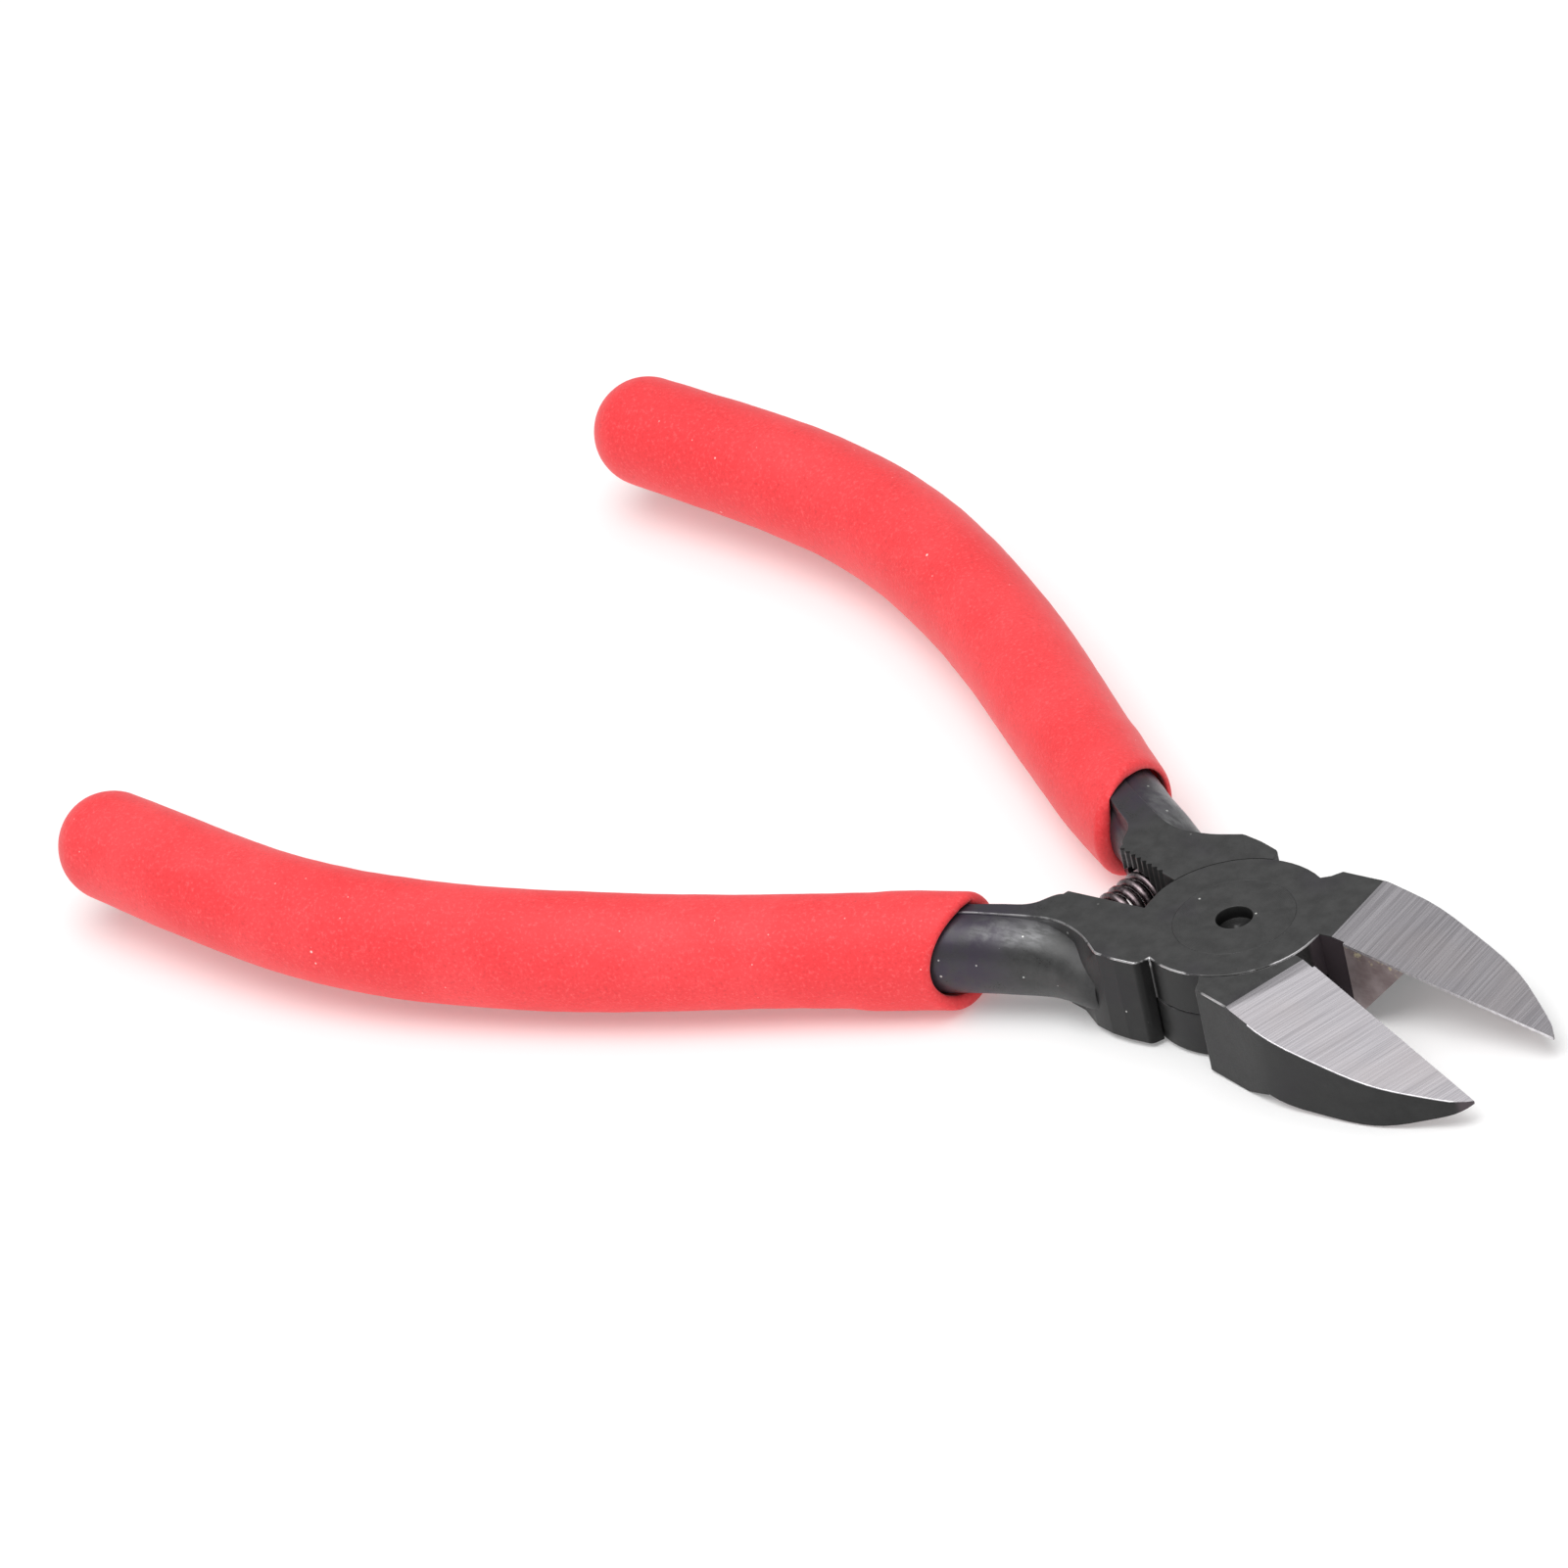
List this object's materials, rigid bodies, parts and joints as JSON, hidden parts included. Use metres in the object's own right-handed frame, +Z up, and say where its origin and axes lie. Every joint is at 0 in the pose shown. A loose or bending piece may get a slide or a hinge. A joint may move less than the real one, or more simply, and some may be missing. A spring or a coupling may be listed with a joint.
{
  "type": "diagonal cutting pliers",
  "caption": "Diagonal cutting pliers with a flush lap joint, slim ground jaws, a coil return spring between the handles and soft dipped sleeves",
  "frame": {"origin": "The pivot axis, on the flat underside of the head", "axes": "+X points at the jaw tips along the middle of the opening, +Y to the left handle, +Z up out of the side with the ground jaw faces"},
  "size_m": [0.1461, 0.0872, 0.0117],
  "materials": {
    "blackened_steel": "black oxide on forged steel, with the jaw tops and cutting edges ground bright",
    "rivet_steel": "black oxide, ground flush with the head",
    "spring_steel": "drawn spring wire",
    "red_sleeve": "matte soft plastic"
  },
  "bodies": {
    "upper": {"upper_half": "blackened_steel", "right_grip": "red_sleeve", "pivot_rivet": "rivet_steel", "return_spring": "spring_steel"},
    "lower": {"lower_half": "blackened_steel", "left_grip": "red_sleeve"}
  },
  "joints": [
    {"name": "handle_squeeze", "type": "hinge", "parent": "upper", "child": "lower", "pos_m": [0, 0, 0], "axis": [0, 0, 1], "range_deg": [-5, 18.8], "stiffness_Nm_per_rad": 0.34, "deforming": ["return_spring"]}
  ]
}
